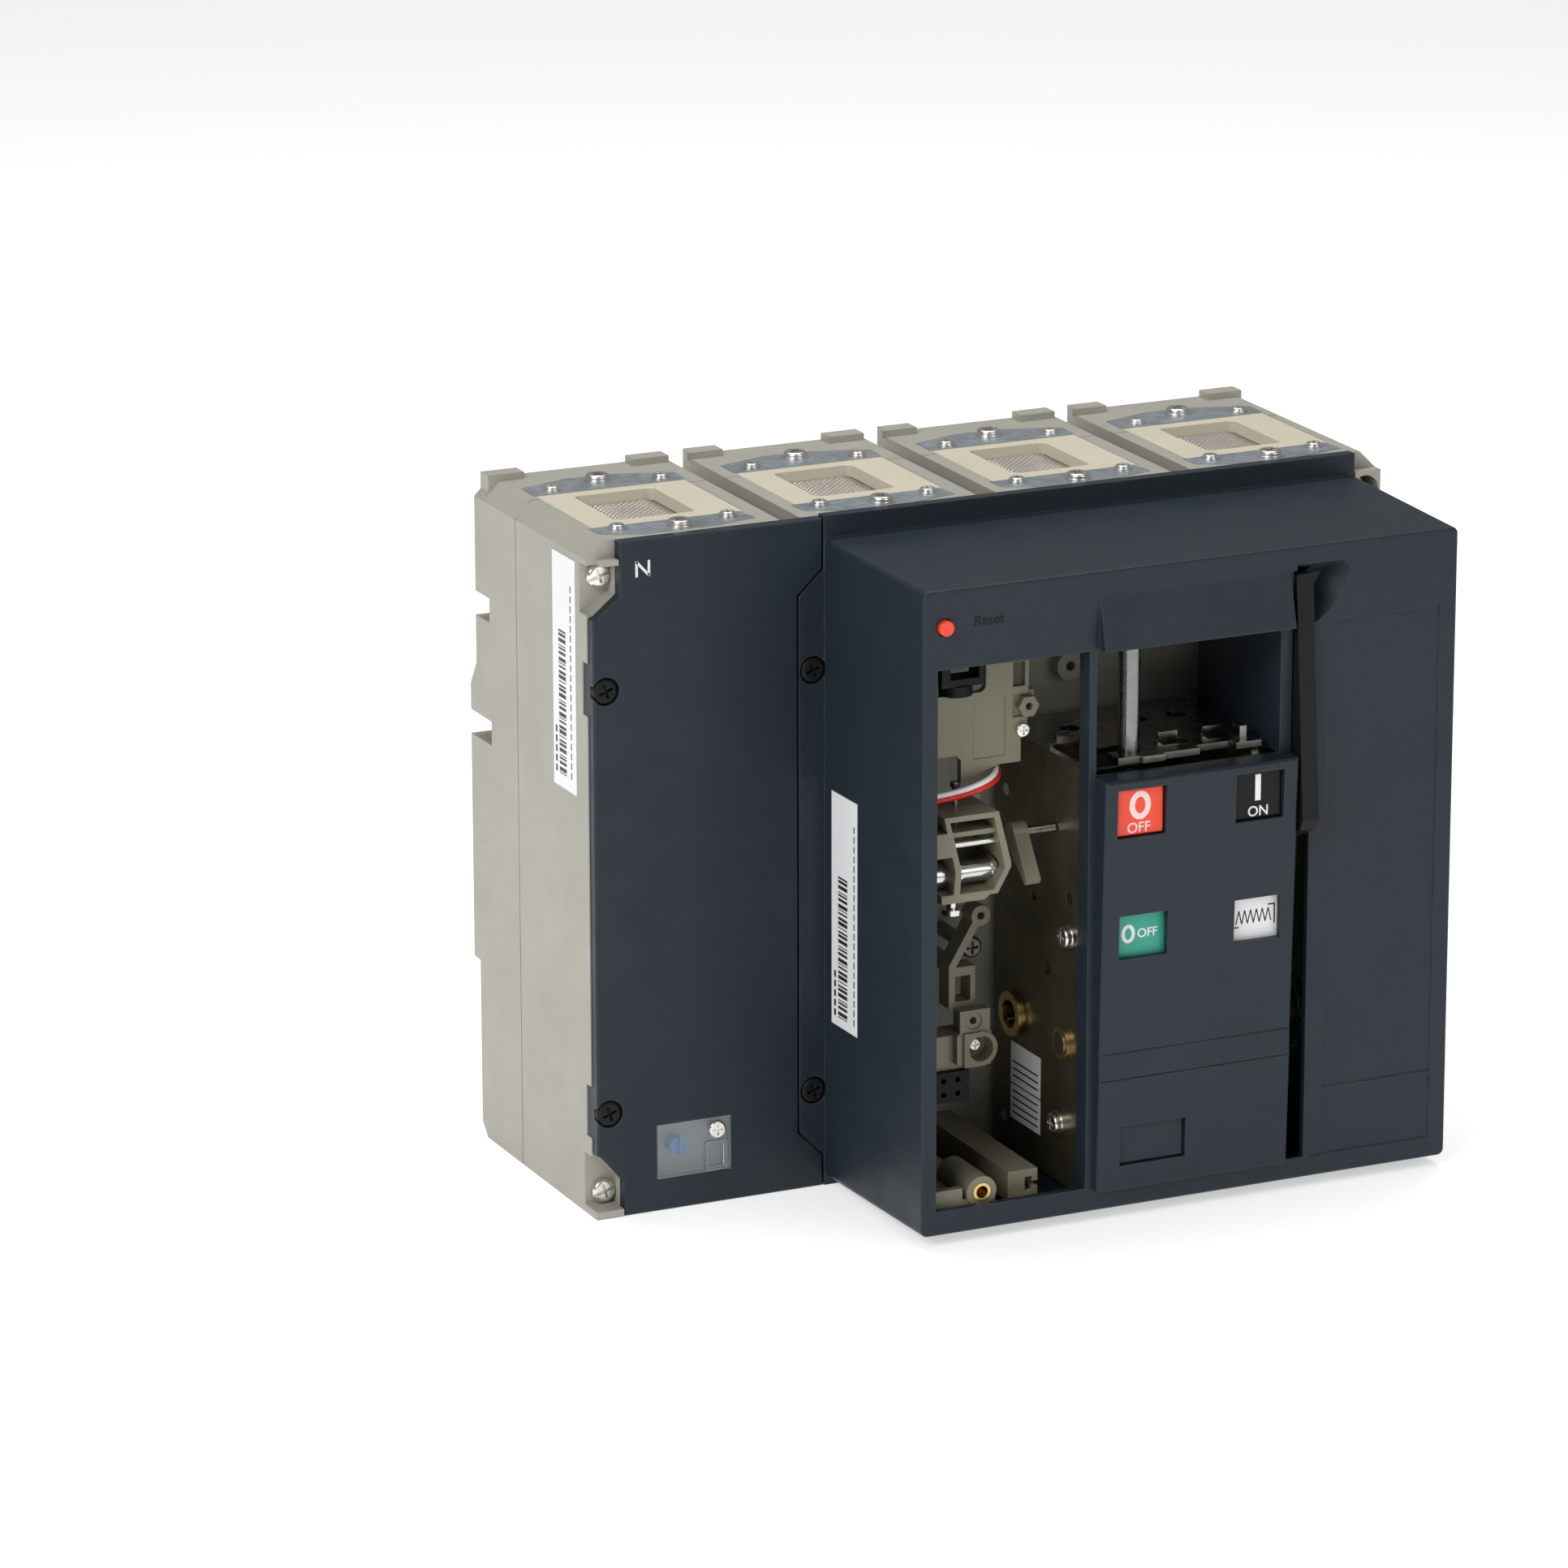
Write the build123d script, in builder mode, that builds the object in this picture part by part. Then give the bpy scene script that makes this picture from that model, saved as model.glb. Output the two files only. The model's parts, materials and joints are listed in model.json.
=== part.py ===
from build123d import *
import os
from math import cos, radians, sin, tan

# Four-pole air circuit breaker. Millimetres, +Z up, +Y towards the back.
# X = 0 is the middle of the row of poles, Y = 0 the middle of the casing's depth, Z = 0 the base.

# Casing
pole_pitch = 70.0
pole_count = 4
casing_width = pole_pitch * pole_count
casing_height = 222.0
casing_front = -44.0
casing_seam = 12.5
casing_rear = 46.0
rear_band = 51.0
chamber_half = 26.3
chamber_front = -38.0
chamber_rear = 40.0
chamber_floor = 6.0
chamber_roof = 216.0
pole_centres = [pole_pitch * (i - (pole_count - 1) / 2) for i in range(pole_count)]
pole_gaps = [pole_pitch * (i - (pole_count - 2) / 2) for i in range(pole_count - 1)]
bolt_x = 134.3
bolt_low = 6.9
bolt_high = 210.0
bolt_radius = 2.6
bolt_tip_radius = 2.4
bolt_seat = -38.4

# Covers
cover_plane = -48.0
cover_face = -117.2
cover_left = -59.9
cover_right = 130.9
cover_low = 2.7
cover_high = 215.5
cover_wall = 2.5
cover_draft = 1.0
flange_high = 222.7
tongue_left = -68.8
neutral_right = -69.2
panel_plate = -118.0
panel_x = (1.6, 70.0)
panel_profile = [(cover_face, 11.0), (-120.0, 11.0), (-121.2, 48.2), (-121.0, 57.0), (-124.0, 147.4),
                 (cover_face, 147.4)]
bay_window_x = (-53.9, -1.2)
bay_window_z = (12.0, 188.8)
upper_window_x = (1.3, 66.3)
slot_x = (70.4, 77.4)
slot_z = (11.0, 206.4)
reset_at = (-51.5, 202.4)
cover_screw_spots = [(-135.4, 174.4), (-135.4, 35.1), (-63.9, 172.9), (-63.9, 32.8)]

# Arc chutes, measured from each pole's centre
chute_half = 26.0
chute_y = (-28.4, 16.3)
chute_low = 163.0
vent_x = (-15.2, 12.7)
vent_y = (-22.0, 12.0)
clamp_low = 220.5
front_clamp = [(-27.5, -28.8), (-26.8, -36.7), (-15.0, -42.0), (10.0, -42.0), (25.7, -38.0), (24.5, -28.8)]
rear_clamp = [(-26.5, 16.8), (-26.5, 27.2), (-8.9, 32.9), (7.7, 32.2), (26.5, 25.8), (26.1, 16.8)]
large_screw_spots = [(0.2, -36.9), (0.0, 27.2)]
small_screw_spots = [(-19.3, -32.3), (18.8, -32.3), (-18.4, 21.3), (19.5, 21.0)]

# Contacts and pole shaft
pivot_y = 2.0
pivot_z = 70.0
pivot_radius = 3.0
open_angle = 15.0
arm_length = 80.0
shaft_y = -28.0
shaft_z = 60.0
shaft_radius = 7.0
running_fit = 0.06
terminal_bars = [(132.0, 142.0), (74.0, 84.0)]

# Operating mechanism
left_plate_x = (0.0, 2.5)
right_plate_x = (60.5, 63.0)
mech_y = (-110.0, -50.0)
mech_z = (7.5, 148.8)
shelf_thick = 2.2
charge_y = -99.3
charge_z = 55.3
charge_radius = 3.6
lever_x = (70.9, 76.7)
wheel_x = (79.1, 82.7)
column_at = (19.5, -104.0)
column_radius = 3.5

# Controls
button_gap = 0.3
off_x = (5.8, 23.0)
on_x = (47.6, 64.8)
button_z = (128.4, 144.3)
contact_flag_x = (7.4, 24.6)
spring_flag_x = (48.3, 65.0)
flag_z = (88.2, 102.6)
flag_travel = 14.5
flag_front = -119.4

os.makedirs("parts", exist_ok=True)


def keep(piece, name):
    piece.label = name
    export_step(piece, "parts/" + name + ".step")


def at_depth(y):
    """Plane facing the front, with its sketch's x along X and its y along Z."""
    return Plane.XZ.offset(-y)


def block(x, y, z, mode=Mode.ADD):
    middle = ((x[0] + x[1]) / 2, (y[0] + y[1]) / 2, (z[0] + z[1]) / 2)
    with Locations(middle):
        Box(x[1] - x[0], y[1] - y[0], z[1] - z[0], mode=mode)


def rod_x(x, y, z, radius, mode=Mode.ADD):
    with Locations(Location(((x[0] + x[1]) / 2, y, z), (0, 90, 0))):
        Cylinder(radius, x[1] - x[0], mode=mode)


def rod_y(x, y, z, radius, mode=Mode.ADD):
    with Locations(Location((x, (y[0] + y[1]) / 2, z), (90, 0, 0))):
        Cylinder(radius, y[1] - y[0], mode=mode)


def rod_z(x, y, z, radius, mode=Mode.ADD):
    with Locations(Location((x, y, (z[0] + z[1]) / 2))):
        Cylinder(radius, z[1] - z[0], mode=mode)


def cross_screw(head_radius, head_height, shank_radius, shank_length, slot_reach=1.2):
    """Pan-head cross-recess screw: the head's seat at the origin, the head above it along +Z."""
    with BuildPart() as screw:
        with BuildSketch(Plane.XZ):
            with BuildLine():
                Line((0, 0), (head_radius, 0))
                Line((head_radius, 0), (head_radius, head_height * 0.5))
                ThreePointArc((head_radius, head_height * 0.5),
                              (head_radius * 0.93, head_height * 0.86), (head_radius * 0.74, head_height))
                Line((head_radius * 0.74, head_height), (0, head_height))
                Line((0, head_height), (0, 0))
            make_face()
        revolve(axis=Axis.Z)
        with Locations((0, 0, -shank_length / 2)):
            Cylinder(shank_radius, shank_length)
        with Locations((0, 0, head_height)):
            Box(head_radius * slot_reach, head_radius * 0.24, head_height * 1.1, mode=Mode.SUBTRACT)
            Box(head_radius * 0.24, head_radius * 1.2, head_height * 1.1, mode=Mode.SUBTRACT)
    return screw.part


# ---------------------------------------------------------------- casing

def casing_outline(y, amount):
    """The casing's outer block, bevelled along its two top edges, from depth y towards the front."""
    bevel = 5.6
    half = casing_width / 2
    with BuildPart() as outline:
        with BuildSketch(at_depth(y)):
            with BuildLine():
                Polyline((-half, 0), (half, 0), (half, casing_height - bevel), (half - bevel, casing_height),
                         (bevel - half, casing_height), (-half, casing_height - bevel), close=True)
            make_face()
        extrude(amount=amount)
    return outline.part


def clamp_outline(points, centre, low, high):
    with BuildPart() as clamp:
        with BuildSketch(Plane.XY.offset(low)):
            with BuildLine():
                Polyline(*[(centre + x, y) for x, y in points], close=True)
            make_face()
        extrude(amount=high - low)
    return clamp.part


def make_front_casing():
    half = casing_width / 2
    with BuildPart() as casing:
        add(casing_outline(casing_seam, casing_seam - casing_front))
        block((130.7, half), (cover_plane, casing_front), (0, casing_height - 5.6))
        block((-136.4, -130.6), (cover_plane, casing_front), (214.6, casing_height - 5.6))
        block((-half, -130.6), (cover_plane, casing_front), (0, 2.6))
        for centre in pole_centres:
            block((centre - chamber_half, centre + chamber_half), (chamber_front, casing_seam),
                  (chamber_floor, chamber_roof), Mode.SUBTRACT)
            block((centre - chute_half - 0.1, centre + chute_half + 0.1), (chute_y[0] - 0.1, casing_seam),
                  (chamber_roof, casing_height), Mode.SUBTRACT)
            add(clamp_outline(front_clamp, centre, clamp_low, casing_height), mode=Mode.SUBTRACT)
            for x, y in large_screw_spots[:1]:
                rod_z(centre + x, y, (chamber_roof - 8, clamp_low), 2.0, Mode.SUBTRACT)
            for x, y in small_screw_spots[:2]:
                rod_z(centre + x, y, (chamber_roof, clamp_low), 1.4, Mode.SUBTRACT)
        for gap in pole_gaps:
            block((gap - 3.5, gap + 3.5), (casing_front, casing_seam), (210, casing_height), Mode.SUBTRACT)
        # long corner bolts: open corner pockets for the left heads, round ones for the right heads
        with BuildSketch(at_depth(bolt_seat)):
            with BuildLine():
                Polyline((-half - 1, 2.6), (-130.4, 2.6), (-130.4, 11.4), (-138.0, 20.3), (-half - 1, 20.3),
                         close=True)
            make_face()
            with BuildLine():
                Polyline((-half - 1, 214.6), (-130.4, 214.6), (-130.4, 204.7), (-138.0, 198.5),
                         (-half - 1, 198.5), close=True)
            make_face()
        extrude(amount=bolt_seat - cover_plane, mode=Mode.SUBTRACT)
        for z in (bolt_low, bolt_high):
            rod_y(bolt_x, (cover_plane, bolt_seat), z, 4.9, Mode.SUBTRACT)
            for side in (-1, 1):
                rod_y(side * bolt_x, (cover_plane, casing_seam), z, bolt_radius, Mode.SUBTRACT)
        # journals of the pole shaft, the link's window and the pocket behind the neutral setting
        rod_x((-136, 136), shaft_y, shaft_z, shaft_radius + running_fit, Mode.SUBTRACT)
        block((18, 46), (casing_front, chamber_front), (44, 82), Mode.SUBTRACT)
        block((-119.3, -92.8), (casing_front, -40.5), (10.4, 29.0), Mode.SUBTRACT)
        rod_y(-110.4, (-40.5, chamber_front), 19.8, 1.2 + running_fit, Mode.SUBTRACT)
        # seats of the neutral cover's two side lugs
        for z in (174.4, 35.1):
            block((-half, -131.0), (casing_front, -40.4), (z - 8.6, z + 8.6), Mode.SUBTRACT)
        for x, z in cover_screw_spots:
            rod_y(x, (-41.5, -39.0) if x < -100 else (casing_front, -39.0), z, 1.6, Mode.SUBTRACT)
        # bosses on the front wall, seen through the windows
        for x, z in ((27.0, 163.6), (54.0, 172.0), (-8.0, 196.0)):
            rod_y(x, (-49.0, casing_front), z, 4.8)
            rod_y(x, (-49.0, -42.0), z, 1.6, Mode.SUBTRACT)
        # groove along the seam between the two halves
        with BuildSketch(Plane.XZ.offset(-casing_seam)):
            Rectangle(2 * casing_width, 3 * casing_height)
            with Locations((0, (casing_height - 0.5) / 2 - 0.5)):
                Rectangle(casing_width - 1.0, casing_height, mode=Mode.SUBTRACT)
        extrude(amount=0.5, mode=Mode.SUBTRACT)
    return casing.part


def make_rear_casing():
    half = casing_width / 2
    with BuildPart() as casing:
        add(casing_outline(casing_rear, casing_rear - casing_seam))
        block((-half, half), (casing_rear, rear_band), (60, 153))
        with BuildSketch(Plane.YZ.offset(-half)):
            with BuildLine():
                Polyline((casing_rear, 153), (rear_band, 153), (casing_rear, 161), close=True)
            make_face()
        extrude(amount=casing_width)
        with BuildSketch(Plane.YZ.offset(-half)):
            with BuildLine():
                Polyline((casing_rear - 4.5, 0), (casing_rear, 4.5), (casing_rear, 0), close=True)
            make_face()
        extrude(amount=casing_width, mode=Mode.SUBTRACT)
        for centre in pole_centres:
            block((centre - chamber_half, centre + chamber_half), (casing_seam, chamber_rear),
                  (chamber_floor, chamber_roof), Mode.SUBTRACT)
            block((centre - chute_half - 0.1, centre + chute_half + 0.1), (casing_seam, chute_y[1] + 0.1),
                  (chamber_roof, casing_height), Mode.SUBTRACT)
            add(clamp_outline(rear_clamp, centre, clamp_low, casing_height), mode=Mode.SUBTRACT)
            for x, y in large_screw_spots[1:]:
                rod_z(centre + x, y, (chamber_roof, clamp_low), 2.0, Mode.SUBTRACT)
            for x, y in small_screw_spots[2:]:
                rod_z(centre + x, y, (chamber_roof, clamp_low), 1.4, Mode.SUBTRACT)
            for z in terminal_bars:
                block((centre - 20, centre + 20), (chamber_rear, rear_band), z, Mode.SUBTRACT)
            # low tabs along the rear top edge
            block((centre - 32.7, centre - 20.2), (39.5, casing_rear), (casing_height - 6, 224.2))
            block((centre + 18.0, centre + 30.6), (39.5, casing_rear), (casing_height - 6, 224.2))
        for gap in pole_gaps:
            block((gap - 3.5, gap + 3.5), (casing_seam, casing_rear), (210, casing_height), Mode.SUBTRACT)
            block((gap - 3.5, gap + 3.5), (40, rear_band), (0, 226), Mode.SUBTRACT)
        for side in (-1, 1):
            outer = sorted((side * 132.4, side * (half + 1)))
            block(outer, (34.5, rear_band + 1), (177, 185), Mode.SUBTRACT)
            block(outer, (34.0, rear_band + 1), (136, 144), Mode.SUBTRACT)
            for z in (bolt_low, bolt_high):
                rod_y(side * bolt_x, (casing_seam, rear_band), z, bolt_radius, Mode.SUBTRACT)
    return casing.part


keep(make_front_casing(), "front_casing")
keep(make_rear_casing(), "rear_casing")


def corner_bolts():
    """Long bolts through both halves, with reduced tips that stand out behind the casing."""
    with BuildPart() as bolts:
        screw = cross_screw(3.9, 3.0, bolt_radius, casing_rear - bolt_seat, slot_reach=2.2)
        for side in (-1, 1):
            for z in (bolt_low, bolt_high):
                with Locations(Location((side * bolt_x, bolt_seat, z), (90, 0, 25 + 7 * side))):
                    add(screw)
                rod_y(side * bolt_x, (casing_rear, 53.2), z, bolt_tip_radius)
    return bolts.part


keep(corner_bolts(), "casing_bolts")


# ---------------------------------------------------------------- arc chutes

def arc_cover(centre):
    """Ceramic-filled moulded top of one arc chute, with its vent, and the skirt that holds the plates."""
    with BuildPart() as cover:
        block((centre - chute_half, centre + chute_half), chute_y, (218, casing_height))
        block((centre - chute_half, centre + chute_half), chute_y, (chute_low, 218))
        block((centre - 24, centre + 24), (-26.3, 14.2), (chute_low, 218), Mode.SUBTRACT)
        with BuildSketch(Plane.XY.offset(casing_height)):
            with Locations((centre + sum(vent_x) / 2, sum(vent_y) / 2)):
                RectangleRounded(vent_x[1] - vent_x[0], vent_y[1] - vent_y[0], 2.5)
        extrude(amount=-4, taper=8, mode=Mode.SUBTRACT)
        chamfer(cover.edges().group_by(Axis.Z)[-1], 0.3)
    return cover.part


for number, centre in enumerate(pole_centres, 1):
    keep(arc_cover(centre), "arc_cover_" + str(number))

# steel plates that split the arc, notched where it enters
plates_per_chute = 9
with BuildPart() as splitter_plates:
    for centre in pole_centres:
        with BuildSketch(at_depth(-24.0)) as notched:
            with Locations((centre, 190)):
                Rectangle(48, 48)
            with BuildLine():
                Polyline((centre - 9, 166), (centre, 186), (centre + 9, 166), close=True)
            make_face(mode=Mode.SUBTRACT)
        for i in range(plates_per_chute):
            extrude(notched.sketch.moved(Location((0, i * 4.2, 0))), amount=1.4)
keep(splitter_plates.part, "splitter_plates")

with BuildPart() as gauzes:
    for centre in pole_centres:
        block((centre + vent_x[0] - 1.6, centre + vent_x[1] + 1.6),
              (vent_y[0] - 1.6, vent_y[1] + 1.6), (217, 218))
        with BuildSketch(Plane.XY.offset(218)):
            with Locations((centre + sum(vent_x) / 2, sum(vent_y) / 2)):
                RectangleRounded(vent_x[1] - vent_x[0] - 2.4, vent_y[1] - vent_y[0] - 2.4, 2.0)
        extrude(amount=2.0, taper=45)
keep(gauzes.part, "arc_gauzes")


with BuildPart() as clamp_plates:
    for centre in pole_centres:
        add(clamp_outline(front_clamp, centre, clamp_low, casing_height + 0.2))
        add(clamp_outline(rear_clamp, centre, clamp_low, casing_height + 0.2))
        for spots, radius in ((large_screw_spots, 2.0), (small_screw_spots, 1.4)):
            for x, y in spots:
                rod_z(centre + x, y, (clamp_low, casing_height + 1), radius, Mode.SUBTRACT)
keep(clamp_plates.part, "clamp_plates")


def chute_screws(spots, head_radius, head_height, shank_radius):
    """Screws with a captive washer under a low head."""
    washer = 0.5
    screw = cross_screw(head_radius, head_height, shank_radius, 5.8)
    with BuildPart() as screws:
        for centre in pole_centres:
            for x, y in spots:
                seat = casing_height + 0.2
                rod_z(centre + x, y, (seat, seat + washer), head_radius + 0.6)
                with Locations(Location((centre + x, y, seat), (0, 0, 25 + 11 * x))):
                    add(screw)
    return screws.part


keep(chute_screws(large_screw_spots, 3.9, 2.1, 2.0), "large_chute_screws")
keep(chute_screws(small_screw_spots, 2.5, 1.5, 1.4), "small_chute_screws")


# ---------------------------------------------------------------- main circuit

def terminals(bar_z, pad_z, contact_z):
    """Copper terminals: a bar through the rear wall, a bolting pad and, above, a fixed contact."""
    with BuildPart() as group:
        for centre in pole_centres:
            block((centre - 20, centre + 20), (14.0, rear_band + 1), bar_z)
            block((centre - 24, centre + 24), (rear_band, rear_band + 6), pad_z)
            if contact_z:
                block((centre - 17, centre + 17), (9.0, 14.0), contact_z)
                block((centre - 15, centre + 15), (7.8, 9.0), (contact_z[1] - 15, contact_z[1] - 2))
            with Locations(Plane.XZ.offset(-rear_band - 6)):
                with Locations((centre - 12, sum(pad_z) / 2), (centre + 12, sum(pad_z) / 2)):
                    Hole(5.5, depth=6)
    return group.part


keep(terminals(terminal_bars[0], (118, 150), (126, 158)), "upper_terminals")
keep(terminals(terminal_bars[1], (66, 98), None), "lower_terminals")


def moving_contact(centre):
    """Contact fingers of one pole on their hub, drawn in the open position."""
    width = 34.0
    fingers = 6
    finger = 4.4
    step = (width - finger) / (fingers - 1)
    tilt = radians(open_angle)
    hub = (centre - width / 2, centre + width / 2)
    arm = Plane(origin=(hub[0], pivot_y, pivot_z), x_dir=(0, cos(tilt), sin(tilt)), z_dir=(1, 0, 0))
    with BuildPart() as contact:
        rod_x(hub, pivot_y, pivot_z, 8.0)
        for i in range(fingers):
            with BuildSketch(arm.offset(i * step)):
                with BuildLine():
                    Polyline((-5.5, 0), (5.5, 0), (4.0, arm_length - 12), (5.4, arm_length - 12),
                             (5.4, arm_length), (-3.5, arm_length + 3), (-4.5, arm_length - 12), close=True)
                make_face()
            extrude(amount=finger)
        rod_x(hub, pivot_y, pivot_z, pivot_radius + running_fit, Mode.SUBTRACT)
    return contact.part


for number, centre in enumerate(pole_centres, 1):
    keep(moving_contact(centre), "moving_contact_" + str(number))

with BuildPart() as contact_pins:
    for centre in pole_centres:
        rod_x((centre - chamber_half, centre + chamber_half), pivot_y, pivot_z, pivot_radius)
keep(contact_pins.part, "contact_pins")

with BuildPart() as pole_shaft:
    rod_x((-135.5, 135.5), shaft_y, shaft_z, shaft_radius)
keep(pole_shaft.part, "pole_shaft")

with BuildPart() as shaft_cranks:
    for centre in pole_centres:
        with BuildSketch(Plane.YZ.offset(centre - 9)):
            with Locations((shaft_y, shaft_z)):
                Circle(9.6)
            with BuildLine():
                Polyline((shaft_y - 2, shaft_z - 6), (shaft_y + 14.5, shaft_z + 1),
                         (shaft_y + 14.5, shaft_z + 9), (shaft_y - 2, shaft_z + 9), close=True)
            make_face()
        extrude(amount=18)
    rod_x((-135.5, 135.5), shaft_y, shaft_z, shaft_radius, Mode.SUBTRACT)
keep(shaft_cranks.part, "shaft_cranks")


# ---------------------------------------------------------------- covers

def neutral_cover_outline():
    half = casing_width / 2
    return [(-130.3, casing_height), (-130.3, 204.5), (-138.0, 198.2), (-half + 0.4, 197.6),
            (-half + 0.4, 21.4), (-138.0, 20.6), (-130.3, 11.6), (-130.3, 0.0), (-60.6, 0.0),
            (-60.6, 10.5), (neutral_right, 19.1), (neutral_right, 197.7), (-60.6, 205.7),
            (-60.6, casing_height)]


def make_neutral_cover():
    with BuildPart() as cover:
        with BuildSketch(at_depth(casing_front)):
            with BuildLine():
                Polyline(*neutral_cover_outline(), close=True)
            make_face()
        extrude(amount=casing_front - cover_plane)
        outer_edges = cover.edges().filter_by(GeomType.LINE).group_by(Axis.Y)[0]
        chamfer(outer_edges, 0.5)
        for z in (174.4, 35.1):
            block((-casing_width / 2 + 0.4, -131.4), (casing_front, -40.7), (z - 8.3, z + 8.3))
        with BuildSketch(at_depth(cover_plane)):
            with Locations((-106.05, 19.75)):
                Rectangle(26.1, 18.4)
        extrude(amount=-4, mode=Mode.SUBTRACT)
        for x, z in cover_screw_spots[:2]:
            rod_y(x, (cover_plane, -45.6), z, 4.6, Mode.SUBTRACT)
            rod_y(x, (cover_plane, -40.7), z, 1.6, Mode.SUBTRACT)
    return cover.part


keep(make_neutral_cover(), "neutral_cover")


def make_front_cover():
    depth = cover_plane - cover_face
    width = cover_right - cover_left
    height = cover_high - cover_low
    middle = ((cover_left + cover_right) / 2, (cover_low + cover_high) / 2)
    with BuildPart() as cover:
        with BuildSketch(at_depth(cover_plane)):
            with Locations(middle):
                Rectangle(width, height)
        extrude(amount=depth, taper=cover_draft)
        fillet(cover.edges().group_by(Axis.Y)[1], 2.2)
        fillet(cover.faces().sort_by(Axis.Y)[0].edges(), 1.1)
        # flange against the casing, with the tongue beside the neutral cover
        with BuildSketch(at_depth(casing_front)):
            with BuildLine():
                Polyline((-60.2, 0), (-60.2, 10.6), (tongue_left, 19.3), (tongue_left, 197.5), (-60.2, 205.5),
                         (-60.2, flange_high), (130.3, flange_high), (130.3, 0), close=True)
            make_face()
        extrude(amount=casing_front - cover_plane)
        with BuildSketch(at_depth(casing_front)):
            with Locations(middle):
                Rectangle(width - 2 * cover_wall, height - 2 * cover_wall)
        extrude(amount=casing_front - cover_face - cover_wall, taper=cover_draft, mode=Mode.SUBTRACT)
        # wedge-shaped brow above the upper window, wall beside it and block behind the finger scoop
        with BuildSketch(Plane.YZ.offset(2.0)):
            with BuildLine():
                Polyline((cover_face + 0.5, 189.0), (-121.5, 189.0), (-121.2, 190.4), (cover_face, 206.0),
                         (cover_face + 0.5, 206.0), close=True)
            make_face()
        extrude(amount=67.4)
        block((66.3, 68.8), (cover_face, -62.0), (147.6, 212.3))
        block((77.9, 94.7), (cover_face + 1, -106.0), (184.5, 210.5))
        block((-1.2, 1.3), (cover_face, -110.3), (11.0, 190.0))
        # windows
        block(bay_window_x, (cover_face - 1, cover_face + 3), bay_window_z, Mode.SUBTRACT)
        block(upper_window_x, (cover_face - 5, cover_face + 3), (147.4, 189.0), Mode.SUBTRACT)
        block((3.4, 68.4), (cover_face - 1, cover_face + 3), (13.0, 146.0), Mode.SUBTRACT)
        block(slot_x, (cover_face - 5, cover_face + 3), slot_z, Mode.SUBTRACT)
        # finger scoop beside the charging handle
        with BuildSketch(at_depth(cover_face)):
            with BuildLine():
                Line((71.6, 208.3), (71.6, 186.3))
                ThreePointArc((71.6, 186.3), (84.4, 193.4), (91.1, 205.3))
                Line((91.1, 205.3), (88.6, 208.3))
                Line((88.6, 208.3), (71.6, 208.3))
            make_face()
        extrude(amount=-8.5, taper=32, mode=Mode.SUBTRACT)
        # shallow insets of the blank right-hand area
        with BuildSketch(at_depth(cover_face)):
            with Locations((103.6, 111.5)):
                Rectangle(39.8, 155.6)
            with Locations((103.6, 21.8)):
                Rectangle(39.8, 21.6)
            with Locations((81.8, 15.1)):
                Rectangle(4.4, 9.2)
        extrude(amount=-0.4, mode=Mode.SUBTRACT)
        rod_y(reset_at[0], (cover_face - 1, cover_face + 3), reset_at[1], 2.9, Mode.SUBTRACT)
        for x, z in cover_screw_spots[2:]:
            rod_y(x, (cover_plane, -45.6), z, 4.6, Mode.SUBTRACT)
            rod_y(x, (cover_plane, casing_front), z, 1.6, Mode.SUBTRACT)
    return cover.part


keep(make_front_cover(), "front_cover")

with BuildPart() as cover_screws:
    black_screw = cross_screw(4.1, 2.6, 1.6, 5.0)
    for x, z in cover_screw_spots:
        with Locations(Location((x, -45.6, z), (90, 0, 20))):
            add(black_screw)
keep(cover_screws.part, "cover_screws")


def make_button_panel():
    """Wedge-shaped panel with a rim that fits the cover's opening, and thinner walls at the flags."""
    knockout_x = (9.4, 32.8)
    knockout_z = (18.9, 32.0)
    rear = cover_face + 2.5
    with BuildPart() as panel:
        with BuildSketch(Plane.YZ.offset(panel_x[0])):
            with BuildLine():
                Polyline(*panel_profile, close=True)
            make_face()
        extrude(amount=panel_x[1] - panel_x[0])
        front = [face for face in panel.faces() if face.normal_at().Y < -0.9]
        rim = [edge for face in front for edge in face.edges()
               if abs(edge.center().X - sum(panel_x) / 2) > 30 or edge.center().Z > 147]
        chamfer(rim, 0.8)
        # two fine grooves across the face, then the rim behind it
        for z, bottom in ((57.0, -120.7), (48.2, -120.8)):
            block(panel_x, (-125.0, bottom), (z - 0.25, z + 0.25), Mode.SUBTRACT)
        block((3.6, 68.2), (cover_face, rear), (13.2, 145.8))
        block((4.6, 66.8), (panel_plate, rear), (15.0, 144.8), Mode.SUBTRACT)
        for window_x in (contact_flag_x, spring_flag_x):
            block((window_x[0] - 1.1, window_x[1] + 1.1), (flag_front - 0.4, rear),
                  (flag_z[0] - flag_travel - 1.6, flag_z[1] + flag_travel + 1.6), Mode.SUBTRACT)
        for window_x, window_z in ((off_x, button_z), (on_x, button_z), (contact_flag_x, flag_z),
                                   (spring_flag_x, flag_z), (knockout_x, knockout_z)):
            block(window_x, (-125, rear), window_z, Mode.SUBTRACT)
    return panel.part


keep(make_button_panel(), "button_panel")

with BuildPart() as blanking_insert:
    block((10.0, 32.2), (-119.2, panel_plate), (19.5, 31.4))
    block((8.0, 34.2), (panel_plate, panel_plate + 1.2), (17.0, 34.0))
keep(blanking_insert.part, "blanking_insert")

with BuildPart() as setting_window:
    block((-118.9, -93.2), (cover_plane, -47.0), (10.7, 28.8))
    rod_y(-98.2, (cover_plane, -47.0), 24.9, 1.5, Mode.SUBTRACT)
    block((-102.3, -94.8), (-49.0, cover_plane), (11.4, 21.2))
    block((-101.2, -95.9), (-49.0, cover_plane), (12.6, 20.0), Mode.SUBTRACT)
keep(setting_window.part, "setting_window")

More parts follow.
